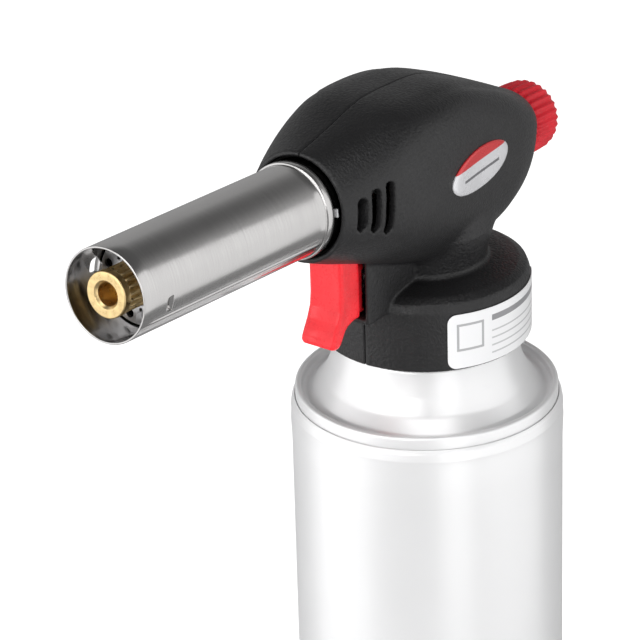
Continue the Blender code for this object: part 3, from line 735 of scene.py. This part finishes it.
def finish_piece(obj, body, slot, *nodes):
    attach(obj, body)
    if nodes:
        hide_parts(*nodes)
    return obj


# ---------------------------------------------------------------- cartridge


def make_can(mat):
    seam = SEAM_TOP
    wall = filleted([
        (CAN_R, 4.2, 0.3), (CAN_R, seam - 15.0, 8), (BEAD_R, seam - 9.4, 5), (BEAD_R - 0.14, seam - 6.9, 1.2),
        (BEAD_R - 0.06, seam - 5.9, 1.4), (32.6, seam - 3.9, 1.6),
        (31.95, seam - 2.8, 0.5), (31.9, seam - 3.6, 0.1),
        (32.2, seam - 5.0, 1.0), (BEAD_R - 0.6, seam - 8.6, 2), (CAN_R - 0.5, seam - 15.0, 6),
        (CAN_R - 0.5, 4.2, 0.1)], 8)
    body = lathe("can_wall", wall, CAN, [mat], 256, smooth=50)
    finish_piece(body, "cartridge", "can_silver", "can_body")

    top = filleted([
        (31.8, seam - 3.5, 0.3), (31.75, seam - 0.04, 0.9), (30.3, seam - 0.04, 0.7), (30.0, seam - 1.9, 0.7),
        (28.9, seam - 2.3, 1.0), (27.4, seam - 1.2, 2.4), (24.9, seam + 1.9, 5), (23.2, seam + 5.8, 6),
        (22.4, seam + 9.6, 5), (22.0, seam + 12.2, 1.2), (21.2, seam + 12.95, 0.6), (19.6, seam + 12.7, 0.8),
        (16.4, seam + 11.2, 3), (14.0, seam + 10.3, 2), (12.0, seam + 10.3, 0.1), (12.0, seam + 9.8, 0.1),
        (14.2, seam + 9.7, 2), (16.7, seam + 10.6, 3), (19.7, seam + 12.2, 0.5), (21.0, seam + 12.3, 0.3),
        (21.5, seam + 11.8, 0.5), (21.9, seam + 9.4, 4), (22.7, seam + 5.3, 5), (24.5, seam + 1.2, 4),
        (27.2, seam - 1.9, 2), (29.0, seam - 3.2, 0.6), (30.6, seam - 2.6, 0.3), (30.6, seam - 3.5, 0.1)], 8)
    dome = lathe("can_dome", top, CAN, [mat], 256, smooth=50)
    finish_piece(dome, "cartridge", "can_silver", "can_top_dome")

    under = filleted([
        (33.3, 0.9, 0.5), (32.9, 0.0, 0.4), (31.7, 0.0, 0.4), (31.3, 1.0, 0.6), (31.3, 4.6, 0.8),
        (26.0, 8.0, 6), (16.0, 11.0, 20), (0, 12.4, 0), (0, 13.0, 0), (16.0, 11.6, 18), (26.2, 8.6, 6),
        (31.6, 5.2, 0.3), (31.9, 4.1, 0.2), (33.3, 4.1, 0.5)], 6)
    base = lathe("can_foot", under, CAN, [mat], 256, smooth=50)
    finish_piece(base, "cartridge", "can_silver", "can_base")


# ---------------------------------------------------------------- burner



def make_tube(mat, lug_mat):
    """Rolled sheet with a lock seam, a rolled bead before the mouth of the housing and two lanced stops."""
    bead_low, bead_high, back = 51.0, 53.3, 41.0
    outer = [(TUBE_R, back, 0.1), (TUBE_R, bead_low, 0.25), (TUBE_R + 0.55, bead_low, 0.5),
             (TUBE_R + 0.55, bead_high, 0.5), (TUBE_R, bead_high, 0.3)]
    outer += [(TUBE_R, z, 0) for z in np.linspace(56, TIP - 4, 8)]
    inner = [(TUBE_R - TUBE_SHEET, z, 0) for z in np.linspace(TIP - 4, 56, 8)]
    inner += [(TUBE_R - TUBE_SHEET, back, 0.1)]
    outline = filleted([*outer, (TUBE_R, TIP, 0.16), (TUBE_R - TUBE_SHEET, TIP, 0.16), *inner], 4)

    def seam(radius, height, angles):
        gap = (angles - SEAM_ANGLE + math.pi) % (2 * math.pi) - math.pi
        off = gap * TUBE_R
        ridge = 0.28 * np.exp(-((off / 0.75) ** 6)) - 0.1 * np.exp(-(((off + 1.25) / 0.35) ** 2))
        share = np.clip((height - bead_high) / 0.8, 0, 1) * np.clip((TIP - 0.35 - height) / 0.3, 0, 1)
        return radius + ridge * share * (radius > TUBE_R - 0.1)

    tube = lathe("burner_tube", outline, BARREL, [mat], 360, seam, smooth=40)
    slots = []
    for k, angle in enumerate(LANCE_ANGLES):
        turn = BARREL @ Matrix.Rotation(math.radians(angle), 4, "Z")
        slot = filleted([(-2.0, 108.2, 0.4), (2.0, 108.2, 0.4), (1.7, 110.4, 0.9), (-1.7, 110.4, 0.9)], 4)
        slots.append(prism(f"slot_{k}", slot, TUBE_R - 2.5, TUBE_R + 1.5, turn, (), axis=0))
    combine(tube, slots, smooth=40)
    for k, angle in enumerate(LANCE_ANGLES):
        make_lance(f"tube_lance_{k + 1}", angle, mat)
    finish_piece(tube, "torch_head", "stainless", "flame_tube")

    turn = BARREL @ Matrix.Rotation(math.radians(8), 4, "Z")
    outline = filleted([(TUBE_R - 0.05, 49.75, 0), (TUBE_R + 0.95, 49.9, 0.25), (TUBE_R + 0.95, 50.55, 0.25),
                        (TUBE_R - 0.05, 50.7, 0)], 3)
    points = [(r, y, z) for y in (-0.95, 0.95) for r, z in outline]
    count = len(outline)
    faces = [list(range(count)), list(range(count, 2 * count))]
    faces += [(k, (k + 1) % count, count + (k + 1) % count, count + k) for k in range(count)]
    lug = piece("tube_lug", points, faces, turn, [lug_mat], 35)
    finish_piece(lug, "torch_head", "stainless")


def make_shade_sleeve(mat):
    """A near-black matt sleeve between the tube and the housing: painted shade, seen through the vents."""
    outline = filleted([(11.4, 42.2, 0.1), (11.9, 42.2, 0.1), (11.9, 48.2, 0.1), (11.4, 48.2, 0.1)], 2)
    sleeve = lathe("vent_shade_sleeve", outline, BARREL, [mat], 96)
    finish_piece(sleeve, "torch_head", "piezo_black")


def make_lance(name, angle, mat):
    """A tongue of the sheet, bent inwards from the slot's rear edge."""
    turn = BARREL @ Matrix.Rotation(math.radians(angle), 4, "Z")
    rows = []
    for share in np.linspace(0, 1, 7):
        drop = 2.3 * share**1.1
        reach = 108.25 + 1.5 * share - 0.4 * share**2
        half = 1.9 - 0.6 * share**2
        rows.append((TUBE_R - 0.1 - drop, half, reach))
    points, faces = [], []
    across = np.linspace(-1, 1, 7)
    for level in (0, -0.38):
        for r, half, reach in rows:
            points += [(math.sqrt(max(r * r - (half * a) ** 2, 1)) + level, half * a, reach + 0.15 * level)
                       for a in across]
    wide, size = len(across), len(rows) * len(across)

    def at(level, i, j):
        return level * size + i * wide + j

    for i in range(len(rows) - 1):
        for j in range(wide - 1):
            faces.append((at(0, i, j), at(0, i, j + 1), at(0, i + 1, j + 1), at(0, i + 1, j)))
            faces.append((at(1, i, j), at(1, i + 1, j), at(1, i + 1, j + 1), at(1, i, j + 1)))
    edge = [(0, j) for j in range(wide)] + [(i, wide - 1) for i in range(1, len(rows))]
    edge += ([(len(rows) - 1, j) for j in range(wide - 2, -1, -1)]
             + [(i, 0) for i in range(len(rows) - 2, 0, -1)])
    for (i, j), (k, m) in zip(edge, edge[1:] + edge[:1]):
        faces.append((at(0, i, j), at(0, k, m), at(1, k, m), at(1, i, j)))
    tongue = piece(name, points, faces, turn, [mat], 40)
    finish_piece(tongue, "torch_head", "stainless")


def make_burner(brass, steel):
    """A brass burner with a plain rim and fluted sides, and the drilled disc that centres it."""
    flutes, rim = 20, TIP - 2.3
    outline = filleted([
        (5.15, TIP - 20, 0.2), (5.15, rim - 2, 0), (5.15, rim - 0.35, 0), (5.3, rim, 0.1),
        (5.3, TIP - 0.4, 0.35),
        (3.25, TIP - 0.4, 0.3), (2.65, TIP - 1.0, 0.1), (2.65, TIP - 9, 0.1), (1.6, TIP - 10, 0.1),
        (1.6, TIP - 13, 0), (4.1, TIP - 13.4, 0), (4.1, TIP - 20, 0)], 4)

    def fluted(radius, height, angles):
        if radius < 5 or height > rim - 0.3:
            return np.full(len(angles), radius)
        return radius - 0.75 * np.abs(np.cos(flutes * angles / 2)) ** 3

    burner = lathe("brass_burner", outline, BARREL, [brass], 240, fluted, smooth=32)
    finish_piece(burner, "torch_head", "brass", "burner_nozzle")

    level = TIP - 11.5
    disc = lathe("burner_disc", filleted([(5.5, level - 0.4, 0.1), (10.1, level - 0.4, 0.2),
                                          (10.1, level + 0.4, 0.2), (5.5, level + 0.4, 0.1)], 3),
                 BARREL, [steel], 96)
    drills = []
    for k in range(8):
        a = math.radians(165 + 45 * k)
        drills.append(((8.2 * math.cos(a), 8.2 * math.sin(a)), 1.05))
        a += math.radians(22.5)
        drills.append(((6.5 * math.cos(a), 6.5 * math.sin(a)), 0.42))
    guides = [prism(f"drill_{k}", circle(c, r, 20), level - 2, level + 2, BARREL)
              for k, (c, r) in enumerate(drills)]
    combine(disc, guides)
    fins = []
    for k in range(8):
        a = math.radians(165 + 45 * k + 22.5)
        lean = Matrix.Rotation(a, 4, "Z") @ Matrix.Translation((8.4 * MM, 0, level * MM))
        lean = lean @ Matrix.Rotation(math.radians(38), 4, "X")
        outline = filleted([(-1.15, -0.9, 0.3), (1.15, -0.9, 0.3), (1.15, 1.5, 0.5), (-1.15, 1.5, 0.5)], 3)
        fins.append(prism(f"fin_{k}", outline, -0.16, 0.16,
                          BARREL @ lean @ Matrix.Rotation(math.pi / 2, 4, "X")))
    combine(disc, fins, "UNION")
    finish_piece(disc, "torch_head", "steel", "flame_holder")


# ---------------------------------------------------------------- knob and trigger


def make_knob(mat):
    """A cupped knob with shallow flutes round its side."""
    flutes, end = 28, -reach_behind("knob")
    outline = filleted([
        (8.45, -36.4, 0.25), (8.95, -37.3, 0.5), (9.0, -38.4, 0), (9.0, -40.4, 0), (8.95, -42.4, 0),
        (8.85, end + 2.1, 0.4), (8.25, end + 0.5, 0.7), (7.2, end, 0.6), (6.6, end, 0.3),
        (6.1, end + 0.45, 0.3),
        (0, end + 0.45, 0), (0, -44.4, 0), (2.4, -44.4, 0), (2.4, -32.0, 0), (4.9, -32.0, 0.3),
        (4.9, -39.0, 0.3),
        (5.9, -39.0, 0.3), (5.9, -36.4, 0.2)], 4)

    def fluted(radius, height, angles):
        share = np.clip((radius - 7.3) / 1.0, 0, 1) * (height > end + 0.1)
        return radius - 0.5 * share * np.abs(np.cos(flutes * angles / 2)) ** 1.6

    knob = lathe("flame_knob_cap", outline, KNOB, [mat], 336, fluted, smooth=50)
    finish_piece(knob, "flame_knob", "knob_crimson", "knob")


def reach_behind(node):
    """How far a node lies behind the barrel's origin, along its axis, in millimetres."""
    points = np.array([v.co for v in NODES[node].data.vertices], float) - np.array(KNOB_ORIGIN)
    return float(-(points @ np.array(OUTWARDS)).min() / MM)




def trigger_distance(x, y, z):
    radius = 1.1
    side = polygon_distance(y, z, TRIGGER) + radius
    width = np.abs(x) - np.where(y > -33.2, STEM_HALF, TRIGGER_HALF) + radius
    body = (np.minimum(np.maximum(side, width), 0)
            + np.hypot(np.maximum(side, 0), np.maximum(width, 0)) - radius)
    front = y < -36
    scoop = 0.30 * np.exp(-((x / 3.2) ** 4)) * np.exp(-(((z - 23.0) / 7.0) ** 4)) * front
    dimple = 0.30 * np.exp(-((x / 1.7) ** 2) - ((z - 14.6) / 0.9) ** 2) * front
    pocket = box_distance(x, y, z, (-4, -30.6, 18), (4, -20, 28), 0.3)
    return cut(body + scoop + dimple, pocket, 0.2)


def make_trigger(mat):
    cell = 0.22
    points, quads = net(trigger_distance, (-5.4, -44.6, 10.8), (5.4, -28.6, 35.4), cell)
    button = piece("trigger_button_cap", points, quads, TORCH, [mat])
    finish_piece(button, "trigger_button", "trigger_red", "trigger")


# ---------------------------------------------------------------- label, badge and screws


def make_label(mat):
    """A thin curved film with round corners."""
    low, high = LABEL_HEIGHTS
    start, end = np.radians(LABEL_ANGLES)
    radius, corner, thick = COLLAR_R + 0.06, 2.2, 0.14
    length = (end - start) * radius
    near = corner * (1 - np.cos(np.linspace(0, np.pi / 2, 10)))
    stations = np.concatenate([near, np.linspace(corner, length - corner, 60)[1:-1], (length - near)[::-1]])
    points, uvs, faces = [], [], []
    for along in stations:
        gap = max(corner - min(along, length - along), 0)
        inset = corner - math.sqrt(max(corner**2 - gap**2, 0))
        a = start + along / radius
        for r in (radius, radius + thick):
            for z in np.linspace(low + inset, high - inset, 4):
                points.append((r * math.cos(a), r * math.sin(a), z))
                uvs.append((along, z - low))
    for i in range(len(stations) - 1):
        b, c = 8 * i, 8 * (i + 1)
        for k in range(3):
            faces.append((b + 4 + k, c + 4 + k, c + 5 + k, b + 5 + k))
            faces.append((b + k, b + k + 1, c + k + 1, c + k))
        faces += [(b, c, c + 4, b + 4), (b + 3, b + 7, c + 7, c + 3)]
    for b in (0, 8 * (len(stations) - 1)):
        faces += [(b + k, b + k + 1, b + k + 5, b + k + 4) for k in range(3)]
    film = piece("collar_film", points, faces, TORCH, [mat], 40)
    add_uv(film.data, uvs)
    finish_piece(film, "torch_head", "label_white", "collar_label")


def add_uv(mesh, uvs):
    layer = mesh.uv_layers.new(name="print")
    for loop in mesh.loops:
        layer.data[loop.index].uv = uvs[loop.vertex_index]


def make_badge(mat):
    """An oval badge with a rounded edge, bent to follow the head's right flank."""
    reach, height, half_long, half_high = BADGE
    count = 96
    profile = [(0.0, 0.64), (0.15, 0.64), (0.3, 0.63), (0.45, 0.62), (0.6, 0.6),
               (0.75, 0.58), (0.86, 0.55), (0.93, 0.5), (0.97, 0.42), (1.0, 0.25),
               (1.0, -0.05), (0.0, -0.05)]
    angles = 2 * np.pi * np.arange(count) / count
    points, uvs, rings, faces = [], [], [], []
    for share, level in profile:
        turn = angles if share else angles[:1]
        along, up = half_long * share * np.cos(turn), half_high * share * np.sin(turn)
        s = reach + along * math.cos(BADGE_TILT) - up * math.sin(BADGE_TILT)
        n = height + along * math.sin(BADGE_TILT) + up * math.cos(BADGE_TILT)
        first = len(points)
        points += list(zip(flank(s, n) + level, n, s))
        uvs += [(share * math.cos(a), share * math.sin(a)) for a in turn]
        rings.append(np.arange(count) + first if share else np.full(count, first))
    for low, high in zip(rings, rings[1:]):
        for k in range(count):
            m = (k + 1) % count
            corners = list(dict.fromkeys((low[k], low[m], high[m], high[k])))
            faces.append(corners)
    badge = piece("flank_badge", points, faces, BARREL, [mat], 40)
    add_uv(badge.data, uvs)
    finish_piece(badge, "torch_head", "badge_silver", "side_badge")


def make_screws(mat):
    """Pan-head screws with a cross recess, their heads towards -X."""
    for k, (reach, height) in enumerate(SCREW_SPOTS):
        spot = (BARREL @ Matrix.Translation((0, height * MM, reach * MM))
                @ Matrix.Rotation(math.pi / 2, 4, "Y"))
        outline = filleted([(0, 8.4, 0), (1.0, 7.4, 0.2), (1.2, -9.8, 0.1), (2.7, -9.8, 0.15),
                            (2.7, -10.8, 0.5),
                            (1.9, -11.6, 1.2), (0, -11.8, 0)], 4)
        screw = lathe(f"cross_screw_{k + 1}", outline, spot, [mat], 40)
        wings = []
        for turn in (0, math.pi / 2):
            slot = [(-1.5, -0.28), (1.5, -0.28), (1.5, 0.28), (-1.5, 0.28)]
            wings.append(prism(f"wing_{turn:.0f}", slot, -13, -10.9, spot @ Matrix.Rotation(turn, 4, "Z")))
        combine(screw, wings)
        finish_piece(screw, "torch_head", "steel", f"shell_screw_{k + 1}")


# ---------------------------------------------------------------- stage


def make_stage():
    """A pale floor that shiny things don't mirror, and a room that is dark overhead and pale below."""
    floor = Paint("pale_floor", (0.8, 0.8, 0.8), 0.9, Specular_IOR_Level=0.0, Emission_Color=(1, 1, 1, 1),
                  Emission_Strength=0.45)
    floor.vary_colour(floor.noise(3, 2), 0.995, 1.0)
    path = floor.node("ShaderNodeLightPath")
    floor.link(floor.spread(path.outputs["Is Camera Ray"], 0.45, 0.78, 0, 1),
               floor.shader.inputs["Emission Strength"])
    size = 4000.0
    plane = piece("studio_floor", [(-size, -size, 0), (size, -size, 0), (size, size, 0), (-size, size, 0)],
                  [(0, 1, 2, 3)], Matrix.Identity(4), [floor.mat])
    plane.visible_glossy = False
    plane.visible_shadow = False

    world = bpy.data.worlds.new("studio")
    bpy.context.scene.world = world
    world.use_nodes = True
    nodes, links = world.node_tree.nodes, world.node_tree.links
    start = nodes.new("ShaderNodeTexCoord")
    split = nodes.new("ShaderNodeSeparateXYZ")
    share = nodes.new("ShaderNodeMapRange")
    share.inputs["From Min"].default_value = -1.0
    ramp = nodes.new("ShaderNodeValToRGB")
    while len(ramp.color_ramp.elements) < len(ROOM):
        ramp.color_ramp.elements.new(1.0)
    for element, (height, level) in zip(ramp.color_ramp.elements, ROOM):
        element.position = (height + 1) / 2
        element.color = (level, level, level, 1)
    back = nodes["Background"]
    links.new(start.outputs["Generated"], split.inputs["Vector"])
    links.new(split.outputs["Z"], share.inputs["Value"])
    links.new(share.outputs["Result"], ramp.inputs["Fac"])
    links.new(ramp.outputs["Color"], back.inputs["Color"])
    seen = nodes.new("ShaderNodeBackground")
    seen.inputs["Color"].default_value = (1, 1, 1, 1)
    path = nodes.new("ShaderNodeLightPath")
    mix = nodes.new("ShaderNodeMixShader")
    links.new(path.outputs["Is Camera Ray"], mix.inputs[0])
    links.new(back.outputs[0], mix.inputs[1])
    links.new(seen.outputs[0], mix.inputs[2])
    links.new(mix.outputs[0], nodes["World Output"].inputs["Surface"])


def softbox(name, azimuth, elevation, distance, wide, high, radiance):
    """A large panel of even light that faces the object; azimuth as in the views, lengths in metres."""
    a, e = math.radians(azimuth), math.radians(elevation)
    away = Vector((math.sin(a) * math.cos(e), -math.cos(a) * math.cos(e), math.sin(e)))
    light = bpy.data.lights.new(name, "AREA")
    light.shape, light.size, light.size_y = "RECTANGLE", wide, high
    light.energy = radiance * math.pi * wide * high
    obj = bpy.data.objects.new(name, light)
    bpy.context.scene.collection.objects.link(obj)
    obj.location = Vector((0, 0, 0.15)) + away * distance
    obj.rotation_euler = away.to_track_quat("Z", "Y").to_euler()
    obj.visible_camera = False


def make_lights():
    for name, settings in PANELS.items():
        softbox(name, *settings)


def make_camera():
    """The eye stands at azimuth 36.8 and looks 25.9 degrees down, with a long lens."""
    azimuth, elevation, roll = (math.radians(a) for a in (36.81, 25.85, 1.66))
    distance, aside, above = 0.90056, -0.02529, 0.00218
    back = Vector((math.sin(azimuth) * math.cos(elevation), -math.cos(azimuth) * math.cos(elevation),
                   math.sin(elevation)))
    right = Vector((math.cos(azimuth), math.sin(azimuth), 0))
    up = back.cross(right)
    centre = COLLAR + right * aside + up * above
    axes = (right * math.cos(roll) - up * math.sin(roll), right * math.sin(roll) + up * math.cos(roll), back)
    data = bpy.data.cameras.new("camera")
    data.sensor_width = 36.0
    data.lens = 211.41
    data.clip_start, data.clip_end = 0.05, 20
    camera = bpy.data.objects.new("camera", data)
    bpy.context.scene.collection.objects.link(camera)
    camera.matrix_world = Matrix.Translation(centre + back * distance) @ Matrix(axes).transposed().to_4x4()
    bpy.context.scene.camera = camera


def main():
    make_camera()
    mats = make_materials()
    finish_nodes(mats)
    make_housing(mats["body_black"])
    make_can(mats["can_silver"])
    make_tube(mats["stainless"], mats["steel"])
    make_shade_sleeve(mats["vent_shade_black"])
    make_burner(mats["brass"], mats["steel"])
    make_knob(mats["knob_crimson"])
    make_trigger(mats["trigger_red"])
    make_label(mats["label_white"])
    make_badge(mats["badge_silver"])
    make_screws(mats["steel"])
    make_stage()
    make_lights()
    bpy.context.scene.view_settings.view_transform = "Standard"


main()
